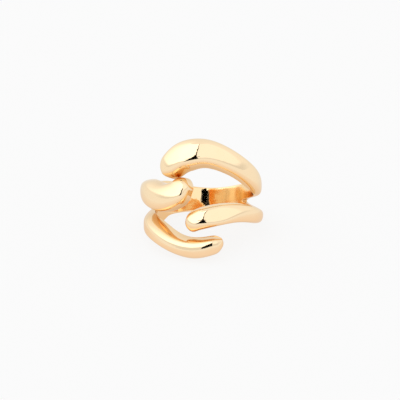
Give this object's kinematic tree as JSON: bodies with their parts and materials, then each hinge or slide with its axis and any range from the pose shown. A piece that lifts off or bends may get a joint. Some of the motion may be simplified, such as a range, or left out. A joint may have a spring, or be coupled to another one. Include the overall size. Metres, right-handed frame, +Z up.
{
  "type": "multi-band finger ring",
  "caption": "Gold-coloured open finger ring: a flat band forks on each side into domed lobes that interlace across the front.",
  "frame": {"origin": "the middle of the footprint, on the surface that the ring lies on", "axes": "+Z up from that surface, -Y towards the interlaced front, +X towards the right seen from the front. The finger hole leans back by 23.5 degrees"},
  "size_m": [0.0224, 0.024, 0.0195],
  "materials": {
    "gold_plate": "polished gold plating over cast brass"
  },
  "bodies": {
    "root": {"cast_ring": "gold_plate"}
  },
  "joints": []
}
